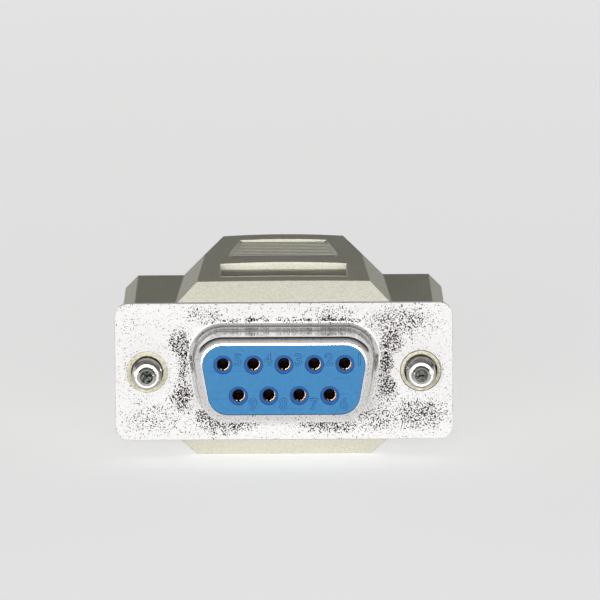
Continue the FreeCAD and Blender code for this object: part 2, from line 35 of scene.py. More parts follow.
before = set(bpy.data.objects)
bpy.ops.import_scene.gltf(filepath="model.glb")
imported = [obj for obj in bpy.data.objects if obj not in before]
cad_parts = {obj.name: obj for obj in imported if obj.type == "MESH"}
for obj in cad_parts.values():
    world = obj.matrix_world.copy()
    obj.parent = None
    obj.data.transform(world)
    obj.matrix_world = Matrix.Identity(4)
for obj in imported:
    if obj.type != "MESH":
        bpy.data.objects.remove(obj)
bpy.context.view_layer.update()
MM = 0.001


def middle(node):
    """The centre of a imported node's box."""
    low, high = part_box(node)
    return (low + high) / 2


# Camera: how far from the flange's centre, how high above its level, and how far beside and above
# that centre it looks. The scale is in pixels per metre at the flange.
CAMERA_DISTANCE = 0.75
CAMERA_ELEVATION = math.radians(7.7)
CAMERA_ROLL = math.radians(0.3)
CAMERA_CLIP = (0.01, 10)
AIM_RIGHT = 1.5 * MM
AIM_UP = 6.5 * MM
SCALE_PX = 10950
IMAGE_PX = 600
SENSOR_MM = 36

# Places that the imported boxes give. The flanges of the two shells lie back to back.
FLANGE_BACK = 2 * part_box("front_shell")[1].y
HOOD_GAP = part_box("hood")[0].y
SCREW_SIDE = middle("jackscrew_right").x
CONTACT_PITCH = middle("contact_1").x - middle("contact_2").x
HALF_ROWS = middle("contact_1").z

# How far a cutting solid runs past the surface that it cuts, and how near points are one point
PAST = 1 * MM
WELD = 0.0005 * MM


# Mesh helpers

def from_bmesh(name, bm):
    """A new object that holds this mesh."""
    mesh = bpy.data.meshes.new(name)
    bmesh.ops.recalc_face_normals(bm, faces=bm.faces)
    bm.to_mesh(mesh)
    bm.free()
    piece = bpy.data.objects.new(name, mesh)
    bpy.context.scene.collection.objects.link(piece)
    return piece


def apply_modifiers(piece):
    """Work the piece's modifiers into its mesh."""
    graph = bpy.context.evaluated_depsgraph_get()
    mesh = bpy.data.meshes.new_from_object(piece.evaluated_get(graph))
    piece.modifiers.clear()
    piece.data = mesh


def combine(piece, other, operation):
    """Join another solid to the piece, or cut it away, and drop the other."""
    change = piece.modifiers.new(operation.lower(), "BOOLEAN")
    change.operation = operation
    change.solver = "EXACT"
    change.object = other
    apply_modifiers(piece)
    bpy.data.objects.remove(other)


def prism(name, corners, start, end, axis):
    """A straight prism from start to end along an axis. Its (a, b) corners lie square to it."""
    places = {
        "X": lambda a, b, along: (along, a, b),
        "Y": lambda a, b, along: (a, along, b),
        "Z": lambda a, b, along: (a, b, along),
    }[axis]
    bm = bmesh.new()
    near = [bm.verts.new(places(a, b, start)) for a, b in corners]
    far = [bm.verts.new(places(a, b, end)) for a, b in corners]
    bm.faces.new(near)
    bm.faces.new(far)
    for first in range(len(corners)):
        second = (first + 1) % len(corners)
        bm.faces.new((near[first], near[second], far[second], far[first]))
    return from_bmesh(name, bm)


def round_steps(count):
    """Angles of evenly spaced steps round a full turn."""
    return [2 * math.pi * step / count for step in range(count)]


def disc(centre, radius, count=64):
    """Corners of a round outline about (a, b)."""
    return [
        (centre[0] + radius * math.cos(angle), centre[1] + radius * math.sin(angle))
        for angle in round_steps(count)
    ]


def lathe(bm, profile, count, side=0.0):
    """Rings about an axis along Y from (radius, depth) pairs. No radius gives a closing point."""
    rings = []
    for radius, depth in profile:
        if radius == 0:
            rings.append([bm.verts.new((side, depth, 0))])
            continue
        rings.append([
            bm.verts.new((side + radius * math.cos(angle), depth, radius * math.sin(angle)))
            for angle in round_steps(count)
        ])
    for ring, following in zip(rings, rings[1:]):
        for step in range(count):
            beside = (step + 1) % count
            if len(ring) == 1:
                bm.faces.new((ring[0], following[step], following[beside]))
            elif len(following) == 1:
                bm.faces.new((ring[beside], ring[step], following[0]))
            else:
                bm.faces.new((ring[step], ring[beside], following[beside], following[step]))


def smooth(piece, angle):
    """Smooth shading, with an edge where the surface turns by more than an angle in degrees."""
    for face in piece.data.polygons:
        face.use_smooth = True
    piece.data.set_sharp_from_angle(angle=math.radians(angle))


def round_edges(piece, width, segments, angle, material_index=-1):
    """Round the edges sharper than an angle in degrees, in a material of their own if one is given."""
    for face in piece.data.polygons:
        face.use_smooth = True
    rounding = piece.modifiers.new("rounding", "BEVEL")
    rounding.width = width
    rounding.segments = segments
    rounding.limit_method = "ANGLE"
    rounding.angle_limit = math.radians(angle)
    rounding.use_clamp_overlap = True
    rounding.material = material_index
    apply_modifiers(piece)


def flat_shading_weights(piece):
    """Let the large faces rule the shading where they meet small rounded ones."""
    weights = piece.modifiers.new("weights", "WEIGHTED_NORMAL")
    weights.keep_sharp = True
    apply_modifiers(piece)


# A face is square to Y, or belongs to the bend that leaves it, when the cosine is over this
SQUARE_SHARE = 0.99999
BEND_SHARE = math.cos(math.radians(20))


def flat_faces_shade_flat(piece):
    """Shade the faces square to Y as flats. The bends that leave them start from their normal."""
    mesh = piece.data
    flats = {}
    for face in mesh.polygons:
        if abs(face.normal.y) > SQUARE_SHARE:
            for index in face.vertices:
                flats[index] = face.normal.copy()
    normals = []
    for face in mesh.polygons:
        for loop in face.loop_indices:
            flat = flats.get(mesh.loops[loop].vertex_index)
            tangent = flat is not None and face.normal.dot(flat) > BEND_SHARE
            normals.append(flat if tangent else mesh.corner_normals[loop].vector)
    mesh.normals_split_custom_set([tuple(normal) for normal in normals])


def place(piece, body, slot, material, *nodes):
    """The piece rides on a body and stands for CAD nodes. Its slot is not used.

    It takes the material if it has none yet.
    """
    if not piece.data.materials:
        piece.data.materials.append(material)
    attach(piece, body)
    if nodes:
        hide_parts(*nodes)


# Shader helpers

BLACK = (0, 0, 0, 1)
WHITE = (1, 1, 1, 1)


def colour(red, green, blue):
    """A colour from its eight-bit screen values."""
    parts = []
    for part in (red, green, blue):
        share = part / 255
        parts.append(share / 12.92 if share <= 0.04045 else ((share + 0.055) / 1.055) ** 2.4)
    return (*parts, 1.0)


def shaded(tone, share):
    """A colour made darker or lighter."""
    return tuple(part * share for part in tone[:3]) + (1.0,)


def new_material(name):
    """A material with its nodes: the tree, its shader and the object's own coordinates in mm."""
    material = bpy.data.materials.new(name)
    material.use_nodes = True
    tree = material.node_tree
    shader = tree.nodes["Principled BSDF"]
    where = tree.nodes.new("ShaderNodeTexCoord")
    scale = tree.nodes.new("ShaderNodeVectorMath")
    scale.operation = "SCALE"
    scale.inputs["Scale"].default_value = 1 / MM
    tree.links.new(where.outputs["Object"], scale.inputs[0])
    return material, tree, shader, scale.outputs[0]


def noise(tree, where, scale, detail, roughness=0.5, output="Fac"):
    """A cloudy pattern at a scale per mm: one number from 0 to 1, or three as a colour."""
    texture = tree.nodes.new("ShaderNodeTexNoise")
    texture.inputs["Scale"].default_value = scale
    texture.inputs["Detail"].default_value = detail
    texture.inputs["Roughness"].default_value = roughness
    tree.links.new(where, texture.inputs["Vector"])
    return texture.outputs[output]


def ramp(tree, value, *stops):
    """A colour ramp through (place, colour) stops."""
    node = tree.nodes.new("ShaderNodeValToRGB")
    elements = node.color_ramp.elements
    while len(elements) < len(stops):
        elements.new(0.5)
    for element, (position, tone) in zip(elements, stops):
        element.position = position
        element.color = tone
    tree.links.new(value, node.inputs["Fac"])
    return node.outputs["Color"]


def spread(tree, value, low, high, start=0.0, end=1.0):
    """A number carried from start..end over to low..high."""
    node = tree.nodes.new("ShaderNodeMapRange")
    node.inputs["From Min"].default_value = start
    node.inputs["From Max"].default_value = end
    node.inputs["To Min"].default_value = low
    node.inputs["To Max"].default_value = high
    tree.links.new(value, node.inputs["Value"])
    return node.outputs["Result"]


def fade_in(tree, value, start, end):
    """Nothing up to start, all from end on."""
    return spread(tree, value, 0.0, 1.0, start, end)


def fade_out(tree, value, start, end):
    """All up to start, nothing from end on."""
    return spread(tree, value, 1.0, 0.0, start, end)


def mixed(tree, share, first, second):
    """One colour laid over another, as far as share says. The second is the upper one."""
    node = tree.nodes.new("ShaderNodeMix")
    node.data_type = "RGBA"
    tree.links.new(share, node.inputs["Factor"])
    for socket, tone in (("A", first), ("B", second)):
        entry = [entry for entry in node.inputs if entry.name == socket and entry.type == "RGBA"][0]
        if isinstance(tone, tuple):
            entry.default_value = tone
        else:
            tree.links.new(tone, entry)
    return [entry for entry in node.outputs if entry.type == "RGBA"][0]


def bumped(tree, shader, height, distance, strength):
    """Relief on the shader: a height from 0 to 1 over a distance in mm."""
    node = tree.nodes.new("ShaderNodeBump")
    node.inputs["Strength"].default_value = strength
    node.inputs["Distance"].default_value = distance * MM
    tree.links.new(height, node.inputs["Height"])
    tree.links.new(node.outputs["Normal"], shader.inputs["Normal"])


def joined(tree, operation, first, second=0.0):
    """Two numbers put together by a Math node. Each is a socket or a plain number."""
    node = tree.nodes.new("ShaderNodeMath")
    node.operation = operation
    for entry, value in zip(node.inputs, (first, second)):
        if isinstance(value, (int, float)):
            entry.default_value = value
        else:
            tree.links.new(value, entry)
    return node.outputs[0]


def shifted(tree, operation, first, second):
    """Two vectors put together by a Vector Math node. The second is a socket or plain numbers."""
    node = tree.nodes.new("ShaderNodeVectorMath")
    node.operation = operation
    tree.links.new(first, node.inputs[0])
    if isinstance(second, tuple):
        node.inputs[1].default_value = second
    else:
        tree.links.new(second, node.inputs[1])
    return node.outputs[0]


def along(tree, where, axis):
    """One of the coordinates."""
    node = tree.nodes.new("ShaderNodeSeparateXYZ")
    tree.links.new(where, node.inputs[0])
    return node.outputs[axis]


def turned(tree, where, axis, angle):
    """The coordinates turned about an axis."""
    node = tree.nodes.new("ShaderNodeVectorRotate")
    node.inputs["Axis"].default_value = axis
    node.inputs["Angle"].default_value = angle
    tree.links.new(where, node.inputs["Vector"])
    return node.outputs[0]


def oval(tree, where, centre, half, strength):
    """A soft oval on the flange's face: its strength in the middle, nothing past its rim."""
    offset = shifted(tree, "SUBTRACT", where, (centre[0], 0, centre[1]))
    scaled = shifted(tree, "MULTIPLY", offset, (1 / half[0], 0, 1 / half[1]))
    length = tree.nodes.new("ShaderNodeVectorMath")
    length.operation = "LENGTH"
    tree.links.new(scaled, length.inputs[0])
    return spread(tree, length.outputs["Value"], strength, 0.0, 0.45, 1.15)


# Materials. In their nodes lengths are in mm.

def ivory_plastic():
    """Matte moulded plastic with a very fine grain and faint yellowing."""
    material, tree, shader, where = new_material("ivory_plastic")
    cloud = noise(tree, where, scale=0.35, detail=3)
    tone = ramp(tree, cloud, (0.3, colour(236, 234, 216)), (0.7, colour(243, 242, 228)))
    grain = noise(tree, where, scale=4.6, detail=4, roughness=0.65)
    shade = ramp(tree, grain, (0.32, colour(214, 208, 180)), (0.6, colour(245, 244, 231)))
    tone = mixed(tree, spread(tree, grain, 0.45, 0.65), tone, shade)
    # the rings in the flange's holes stand in front of the rest, yellower and more uneven
    uneven = noise(tree, where, scale=3.2, detail=4, roughness=0.7)
    aged = ramp(tree, uneven, (0.4, colour(202, 193, 158)), (0.58, colour(238, 234, 216)))
    rings = fade_out(tree, along(tree, where, "Y"), 0.5, 0.8)
    tree.links.new(mixed(tree, rings, tone, aged), shader.inputs["Base Color"])
    tree.links.new(spread(tree, grain, 0.68, 0.8), shader.inputs["Roughness"])
    bumped(tree, shader, grain, distance=0.028, strength=0.9)
    shader.inputs["Specular IOR Level"].default_value = 0.15
    return material


# Where dark specks are painted on the tin as the grainy falloff of its reflection: (across, up), (half
# width, half height) and how densely
SPECKLED = (
    ((-9.45, 2.4), (1.2, 1.8), 1.0),
    ((-9.15, 0.2), (0.85, 1.6), 0.8),
    ((-9.3, -2.2), (1.15, 1.9), 1.0),
    ((-7.2, 5.2), (2.3, 0.9), 0.55),
    ((-3.5, 4.55), (4.4, 0.4), 1.05),
    ((3.5, 4.55), (4.4, 0.4), 1.15),
    ((4.5, 5.3), (3.0, 0.8), 0.45),
    ((10.6, 4.5), (3.7, 1.7), 0.7),
    ((9.8, 2.8), (1.35, 1.5), 1.0),
    ((9.4, 0.8), (0.85, 1.7), 1.0),
    ((9.45, -1.5), (1.2, 1.6), 1.0),
    ((12.2, -3.9), (3.0, 1.8), 0.8),
    ((8.6, -4.3), (2.3, 1.7), 0.65),
    ((4.2, -5.0), (3.6, 0.75), 0.85),
    ((-5.2, -4.9), (3.2, 0.9), 0.85),
    ((-7.2, -4.1), (1.4, 1.0), 0.9),
    ((-11.9, -4.2), (3.3, 1.9), 0.4),
    ((-13.9, 4.3), (0.6, 1.2), 0.2),
)
# How far round each screw the tin stays clear, and how far the patches' outlines wander
SCREW_CLEAR = 2.7
SPECK_DRIFT = 1.6
# How much a dense patch lifts the speck pattern, and the turn that stops its grid from showing
SPECK_LIFT = 0.28
SPECK_AXIS, SPECK_ANGLE = (0.4, 0.5, 0.77), 0.9


def speck_density(tree, where, flat):
    """How densely the specks of painted reflection lie: ragged patches on the flat face, clear of the
    screws.
    """
    wander = noise(tree, where, scale=1.1, detail=2, output="Color")
    drift = shifted(tree, "SUBTRACT", wander, (0.5, 0.5, 0.5))
    drift = shifted(tree, "MULTIPLY", drift, (SPECK_DRIFT, 0, SPECK_DRIFT))
    moved = shifted(tree, "ADD", where, drift)
    density = 0.0
    for centre, half, strength in SPECKLED:
        density = joined(tree, "MAXIMUM", density, oval(tree, moved, centre, half, strength))
    for side in (SCREW_SIDE, -SCREW_SIDE):
        bare = oval(tree, where, (side / MM, 0), (SCREW_CLEAR, SCREW_CLEAR), 1.0)
        density = joined(tree, "SUBTRACT", density, bare)
    return joined(tree, "MULTIPLY", joined(tree, "MAXIMUM", density, 0.0), flat)


def tin_plate():
    """Bright tin over steel, frosted with painted reflection specks on the flange's face, glossy where
    it is drawn.
    """
    material, tree, shader, where = new_material("tin_plate_painted_reflection_specks")
    shader.inputs["Metallic"].default_value = 1.0
    flat = fade_in(tree, along(tree, where, "Y"), -0.06, -0.01)
    cloud = noise(tree, where, scale=7.5, detail=3, roughness=0.6)
    matte = ramp(tree, cloud, (0.32, colour(186, 186, 187)), (0.5, colour(205, 204, 203)))
    bright = ramp(tree, cloud, (0.32, colour(220, 220, 221)), (0.5, colour(238, 237, 236)))
    tone = mixed(tree, flat, bright, matte)
    # painted reflection: dark specks where the flange's reflection breaks up into grain, denser in the
    # listed patches
    grains = noise(tree, turned(tree, where, SPECK_AXIS, SPECK_ANGLE), scale=8.8, detail=0)
    lift = joined(tree, "MULTIPLY", speck_density(tree, where, flat), SPECK_LIFT)
    specks = ramp(tree, joined(tree, "ADD", grains, lift), (0.71, BLACK), (0.77, WHITE))
    tree.links.new(mixed(tree, specks, tone, colour(46, 32, 27)), shader.inputs["Base Color"])
    frosted = joined(tree, "MULTIPLY", spread(tree, cloud, 0.62, 0.78), flat)
    sides = joined(tree, "SUBTRACT", 1.0, flat)
    drawn = joined(tree, "MULTIPLY", spread(tree, cloud, 0.09, 0.17), sides)
    tree.links.new(joined(tree, "ADD", frosted, drawn), shader.inputs["Roughness"])
    bumped(tree, shader, noise(tree, where, scale=5, detail=4), distance=0.008, strength=0.5)
    return material


def blue_plastic(name, face_tone, scratch_and_mouth_shade_tone):
    """Blue moulded insulator with flow marks and faint scratches. The contact mouths carry painted
    shade, darkest further in.
    """
    material, tree, shader, where = new_material(name)
    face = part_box("insulator_front")[0].y / MM
    flow = noise(tree, where, scale=2.2, detail=4, roughness=0.6)
    tone = ramp(tree, flow, (0.3, shaded(face_tone, 0.9)), (0.7, shaded(face_tone, 1.06)))
    streaks = noise(tree, shifted(tree, "MULTIPLY", where, (0.12, 1, 2.6)), scale=1.7, detail=1)
    scratches = ramp(tree, streaks, (0.705, BLACK), (0.73, (0.35, 0.35, 0.35, 1)))
    tone = mixed(tree, scratches, tone, scratch_and_mouth_shade_tone)
    depth = along(tree, where, "Y")
    # painted shade: the mouths darken from 0.1 mm behind the face, and nearly to black from 0.34 mm in
    tone = mixed(tree, fade_in(tree, depth, face + 0.1, face + 0.2), tone, scratch_and_mouth_shade_tone)
    painted_bore_shade = shaded(scratch_and_mouth_shade_tone, 0.25)
    tone = mixed(tree, fade_in(tree, depth, face + 0.34, face + 0.5), tone, painted_bore_shade)
    tree.links.new(tone, shader.inputs["Base Color"])
    gloss = noise(tree, where, scale=3, detail=4)
    tree.links.new(spread(tree, gloss, 0.42, 0.56), shader.inputs["Roughness"])
    bumped(tree, shader, noise(tree, where, scale=7, detail=3), distance=0.006, strength=0.6)
    shader.inputs["Specular IOR Level"].default_value = 0.2
    return material


# The way from a contact's axis to the part of its mouth that carries the painted highlight
LIT_RIGHT, LIT_DOWN = 0.8, 0.6


def low_right_of_contact(tree, where):
    """How far a point lies to the lower right of the axis of its own contact.

    The two rows are half a pitch apart sideways, so each row has a shift of its own.
    """
    pitch = CONTACT_PITCH / MM
    height = along(tree, where, "Z")
    row = joined(tree, "SIGN", height)
    up = joined(tree, "SUBTRACT", height, joined(tree, "MULTIPLY", row, HALF_ROWS / MM))
    stagger = joined(tree, "MULTIPLY", row, pitch / 4)
    start = joined(tree, "ADD", along(tree, where, "X"), stagger)
    start = joined(tree, "ADD", start, pitch / 4)
    right = joined(tree, "SUBTRACT", joined(tree, "FLOORED_MODULO", start, pitch), pitch / 2)
    right_part = joined(tree, "MULTIPLY", right, LIT_RIGHT)
    return joined(tree, "SUBTRACT", right_part, joined(tree, "MULTIPLY", up, LIT_DOWN))


def gold_plate():
    """Gold on the contacts: a painted highlight low on the right of each mouth, painted shade in the
    rest of it and dark brown painted shade inside.
    """
    material, tree, shader, where = new_material("gold_plate_painted_light_and_shade")
    shader.inputs["Metallic"].default_value = 1.0
    wear = noise(tree, where, scale=5, detail=4)
    bright = ramp(tree, wear, (0.35, colour(176, 124, 72)), (0.62, colour(236, 190, 140)))
    # painted highlight: the lower right of each mouth is bright gold where the light falls, the rest
    # dark brown painted shade
    lit = fade_in(tree, low_right_of_contact(tree, where), 0.05, 0.35)
    mouth = mixed(tree, lit, colour(34, 22, 14), bright)
    depth = along(tree, where, "Y")
    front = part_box("contact_1")[0].y / MM
    # painted shade: the contact turns nearly black from a little behind its front
    inside = fade_in(tree, depth, front + 0.02, front + 0.24)
    tone = mixed(tree, inside, mouth, colour(12, 8, 6))
    # the solder cups behind the insulators are plain gold, without the painted shade
    tone = mixed(tree, fade_in(tree, depth, 1.0, 1.5), tone, colour(226, 172, 104))
    tree.links.new(tone, shader.inputs["Base Color"])
    gloss = noise(tree, where, scale=4, detail=3)
    tree.links.new(spread(tree, gloss, 0.22, 0.36), shader.inputs["Roughness"])
    return material


def torn_tip(tree, where, plated):
    """The very end of each screw's point, dull and dark over the plating."""
    uneven = noise(tree, where, scale=5, detail=3, roughness=0.7)
    dark_end_tone = ramp(tree, uneven, (0.42, colour(16, 18, 16)), (0.66, colour(110, 112, 108)))
    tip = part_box("jackscrew_left")[0].y / MM
    # the plating turns dark over the last 0.03 mm of the point
    end = fade_out(tree, along(tree, where, "Y"), tip + 0.008, tip + 0.03)
    return mixed(tree, end, plated, dark_end_tone)


def metal(name, tint, roughness, wear_scale=5, relief=0.004, overlay=None):
    """A plated metal whose gloss varies with fine wear. An overlay may change its tone."""
    material, tree, shader, where = new_material(name)
    shader.inputs["Metallic"].default_value = 1.0
    wear = noise(tree, where, wear_scale, detail=4, roughness=0.6)
    tone = ramp(tree, wear, (0.35, shaded(tint, 0.8)), (0.6, tint))
    if overlay:
        tone = overlay(tree, where, tone)
    tree.links.new(tone, shader.inputs["Base Color"])
    gloss = spread(tree, wear, roughness * 1.3, roughness * 0.8)
    tree.links.new(gloss, shader.inputs["Roughness"])
    bumped(tree, shader, wear, relief, strength=0.5)
    return material


def plain_plastic(name, tint, roughness):
    """A plain moulded plastic with a soft grain."""
    material, tree, shader, where = new_material(name)
    grain = noise(tree, where, scale=6, detail=3)
    tone = ramp(tree, grain, (0.3, shaded(tint, 0.85)), (0.65, tint))
    tree.links.new(tone, shader.inputs["Base Color"])
    tree.links.new(spread(tree, grain, roughness, roughness + 0.12), shader.inputs["Roughness"])
    bumped(tree, shader, grain, distance=0.01, strength=0.5)
    return material


# The hood. It tapers from its front to the ears' back and on to the rear bevel.

HOOD_TOP = 7.98 * MM
HOOD_SIDE = 10.98 * MM
HOOD_CHAMFER = 3 * MM
HOOD_FRONT = FLANGE_BACK + HOOD_GAP
EAR_TOP = 6 * MM
EAR_CHAMFER = 1.2 * MM
EAR_BACK = HOOD_FRONT + 22.7 * MM
TAPER_END = HOOD_FRONT + 36.9 * MM
REAR_BEVEL = 1.7 * MM
REAR_INSET = 3.11 * MM
REAR_END = TAPER_END + REAR_BEVEL
# The long bevels behind the flange, above and below
FRONT_BEVEL_RUN, FRONT_BEVEL_RISE = 1.63 * MM, 1.75 * MM
# (depth, inset of the sides, crown of the top) where the hood's outline changes
OUTLINE = (
    (HOOD_FRONT, 0.0, 0.03 * MM),
    (EAR_BACK, 0.63 * MM, 0.35 * MM),
    (TAPER_END, 2.26 * MM, 0.17 * MM),
)
CROWN_STEPS = 12
# The soft edges, and the sharpest turn in degrees that isn't an edge
EDGE_ROUND, EDGE_TURN = 0.3 * MM, 28

GRIP_START, GRIP_END = HOOD_FRONT + 5 * MM, HOOD_FRONT + 14.3 * MM
GRIP_HALF, GRIP_DEPTH, GRIP_SIDE_SLOPE = 5.9 * MM, 0.5 * MM, 0.1 * MM
LABEL_START, LABEL_FLOOR, LABEL_END = (HOOD_FRONT + run * MM for run in (16.1, 21.8, 32.5))
LABEL_NEAR_HALF, LABEL_FAR_HALF = 5.5 * MM, 4.15 * MM
LABEL_DEPTH, LABEL_SIDE_SLOPE = 0.05 * MM, 0.3 * MM
LABEL_RIDGES, RIDGE_HEIGHT = 9, 0.06 * MM

KNOB_SCALLOP = 3.1 * MM
OUTLET_RADIUS, CABLE_WAY_RADIUS = 5.3 * MM, 3.1 * MM
SCREW_BORE_RADIUS = 1.65 * MM
WAY_DEPTH = 9 * MM
# The plastic ring in each hole of the flange: side, outer and inner radius. They aren't quite alike.
RINGS = ((-1, 1.87 * MM, 1.47 * MM), (1, 1.82 * MM, 1.53 * MM))


def octagon(side, top, chamfer, crown=0.0, steps=1, bottom=None):
    """Corners of a rectangle with cut corners, its top side an arc that rises by a crown."""
    bottom = -top if bottom is None else bottom
    flat = side - chamfer
    corners = []
    for step in range(steps + 1):
        share = 1 - 2 * step / steps
        corners.append((flat * share, top + crown * (1 - share * share)))
    corners += [(-side, top - chamfer), (-side, bottom + chamfer), (-flat, bottom), (flat, bottom)]
    corners += [(side, bottom + chamfer), (side, top - chamfer)]
    return corners


def lofted(name, stations):
    """A solid through outlines of as many corners: (depth, corners) pairs along Y."""
    bm = bmesh.new()
    rings = [[bm.verts.new((a, depth, b)) for a, b in corners] for depth, corners in stations]
    bm.faces.new(rings[0])
    bm.faces.new(rings[-1])
    for ring, following in zip(rings, rings[1:]):
        for first in range(len(ring)):
            second = (first + 1) % len(ring)
            bm.faces.new((ring[first], ring[second], following[second], following[first]))
    return from_bmesh(name, bm)


def crowned_top(across, depth):
    """The height of the hood's crowned top over a point."""
    (start, inset, crown), (end, far_inset, far_crown) = (
        OUTLINE[:2] if depth < EAR_BACK else OUTLINE[1:]
    )
    share = (depth - start) / (end - start)
    half = HOOD_SIDE - HOOD_CHAMFER - inset - (far_inset - inset) * share
    rise = crown + (far_crown - crown) * share
    return HOOD_TOP + rise * (1 - (across / half) ** 2)


def recess(piece, rows, near_half, far_half, floor, side_slope, columns=20):
    """Sink a field into the top, from one half width at its near end to another at its far end.

    Rows are (depth along Y, share of the way down to the floor, lift of the floor).
    """
    clear = 0.004 * MM
    start, end = rows[0][0], rows[-1][0]
    bm = bmesh.new()
    grid = []
    for at, share, lift in rows:
        half = near_half + (far_half - near_half) * (at - start) / (end - start)
        inner = half - side_slope
        places = [(-half, 0.0)]
        places += [(inner * (2 * step / columns - 1), 1.0) for step in range(columns + 1)]
        places += [(half, 0.0)]
        line = []
        for across, full in places:
            surface = crowned_top(across, at) + clear
            sunk = (surface - floor) * min(share, full) - lift * full
            line.append(bm.verts.new((across, at, surface - sunk)))
        grid.append(line)
    for line, following in zip(grid, grid[1:]):
        for first, second, third, fourth in zip(line, line[1:], following[1:], following):
            bm.faces.new((first, second, third, fourth))
    border = grid[0] + [line[-1] for line in grid[1:-1]] + grid[-1][::-1]
    border += [line[0] for line in grid[-2:0:-1]]
    lid = [bm.verts.new((vert.co.x, vert.co.y, HOOD_TOP + PAST)) for vert in border]
    bm.faces.new(lid)
    for first in range(len(border)):
        second = (first + 1) % len(border)
        bm.faces.new((border[first], border[second], lid[second], lid[first]))
    combine(piece, from_bmesh("recess", bm), "DIFFERENCE")


def grip_rows():
    """The finger grip: a flat floor between a faintly stepped near edge and a steep far wall."""
    edge, wall, step = 0.12 * MM, 0.1 * MM, 0.07 * MM
    return [
        (GRIP_START - 0.5 * MM, 0.0, 0.0), (GRIP_START - step, 0.12, 0.0), (GRIP_START, 0.0, 0.0),
        (GRIP_START + edge, 1.0, 0.0), (GRIP_END - 0.9 * MM, 1.0, 0.0),
        (GRIP_END - 0.35 * MM, 1.0, 0.03 * MM), (GRIP_END - wall, 0.9, 0.0), (GRIP_END, 0.0, 0.0),
    ]


def label_rows():
    """The label field: a long slope in front, fine ridges across its floor and a low far wall."""
    wall, rise = 0.06 * MM, 0.09 * MM
    pitch = (LABEL_END - wall - LABEL_FLOOR) / LABEL_RIDGES
    rows = [(LABEL_START, 0.0, 0.0), ((LABEL_START + LABEL_FLOOR) / 2, 0.45, 0.0)]
    for number in range(LABEL_RIDGES):
        foot = LABEL_FLOOR + number * pitch
        rows += [
            (foot, 1.0, 0.0), (foot + rise, 1.0, RIDGE_HEIGHT),
            (foot + pitch * 0.55, 1.0, RIDGE_HEIGHT * 0.4),
        ]
    return rows + [(LABEL_END - wall, 1.0, 0.0), (LABEL_END, 0.0, 0.0)]


def hood_body(low, high):
    """The tapering block with its rear bevel and the two long bevels behind the flange."""
    stations = [
        (depth, octagon(HOOD_SIDE - inset, HOOD_TOP, HOOD_CHAMFER, crown, CROWN_STEPS, low.z))
        for depth, inset, crown in OUTLINE
    ]
    rear_side, rear_top, rear_crown = HOOD_SIDE - REAR_INSET, HOOD_TOP - REAR_BEVEL, OUTLINE[-1][2]
    rear = octagon(rear_side, rear_top, HOOD_CHAMFER, rear_crown, CROWN_STEPS)
    hood = lofted("hood_moulding", stations + [(REAR_END, rear)])
    past_run = PAST * FRONT_BEVEL_RUN / FRONT_BEVEL_RISE
    for sign in (1, -1):
        wedge = [
            (HOOD_FRONT - past_run, sign * (HOOD_TOP - FRONT_BEVEL_RISE - PAST)),
            (HOOD_FRONT + FRONT_BEVEL_RUN + past_run, sign * (HOOD_TOP + PAST)),
            (HOOD_FRONT - past_run, sign * (HOOD_TOP + PAST)),
        ]
        combine(hood, prism("wedge", wedge, low.x, high.x, "X"), "DIFFERENCE")
    return hood


def cut_screw_way(hood, sign, outer, inner):
    """The ring in the flange's hole, the way for the screw's neck and the bore behind it."""
    axis = (sign * SCREW_SIDE, 0)
    ring = prism("ring", disc(axis, outer), HOOD_GAP, HOOD_FRONT + PAST, "Y")
    combine(hood, ring, "UNION")
    neck = prism("neck", disc(axis, inner), -PAST, EAR_BACK - PAST, "Y")
    combine(hood, neck, "DIFFERENCE")
    bore = prism("bore", disc(axis, SCREW_BORE_RADIUS), EAR_BACK - WAY_DEPTH, REAR_END, "Y")
    combine(hood, bore, "DIFFERENCE")


def hood_piece(material):
    """The outer moulding with soft edges, finger grips, label field and screw ways."""
    low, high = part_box("hood")
    hood = hood_body(low, high)
    ears = prism("ears", octagon(high.x, EAR_TOP, EAR_CHAMFER), HOOD_FRONT, EAR_BACK, "Y")
    combine(hood, ears, "UNION")
    grip = [
        (-GRIP_HALF, GRIP_START), (GRIP_HALF, GRIP_START),
        (GRIP_HALF, GRIP_END), (-GRIP_HALF, GRIP_END),
    ]
    lower_grip = prism("lower_grip", grip, low.z + GRIP_DEPTH, low.z - PAST, "Z")
    combine(hood, lower_grip, "DIFFERENCE")
    for sign in (1, -1):
        scallop = disc((sign * SCREW_SIDE, 0), KNOB_SCALLOP)
        combine(hood, prism("scallop", scallop, EAR_BACK, REAR_END + PAST, "Y"), "DIFFERENCE")
    outlet = prism("outlet", disc((0, 0), OUTLET_RADIUS), REAR_END - PAST, high.y, "Y")
    combine(hood, outlet, "UNION")
    round_edges(hood, EDGE_ROUND, segments=3, angle=EDGE_TURN)
    grip_floor, label_floor = HOOD_TOP - GRIP_DEPTH, HOOD_TOP - LABEL_DEPTH
    recess(hood, grip_rows(), GRIP_HALF, GRIP_HALF, grip_floor, GRIP_SIDE_SLOPE)
    label_halves = (LABEL_NEAR_HALF, LABEL_FAR_HALF)
    recess(hood, label_rows(), *label_halves, label_floor, LABEL_SIDE_SLOPE)
    for sign, outer, inner in RINGS:
        cut_screw_way(hood, sign, outer, inner)
    way = disc((0, 0), CABLE_WAY_RADIUS)
    combine(hood, prism("way", way, REAR_END - WAY_DEPTH, high.y + PAST, "Y"), "DIFFERENCE")
    smooth(hood, EDGE_TURN)
    flat_shading_weights(hood)
    place(hood, "connector", "hood_plastic", material, "hood")


# Captive screws

SCREW_COUNT = 48
THREAD_PITCH = 0.635 * MM
THREAD_FRONT, THREAD_BACK = -2.85 * MM, 0.0
ROOT_RADIUS, CREST_RADIUS, SHANK_RADIUS = 1.1 * MM, 1.35 * MM, 1.1 * MM
# How far the thread takes to run out at each end
THREAD_RUNOUT = 0.45 * MM
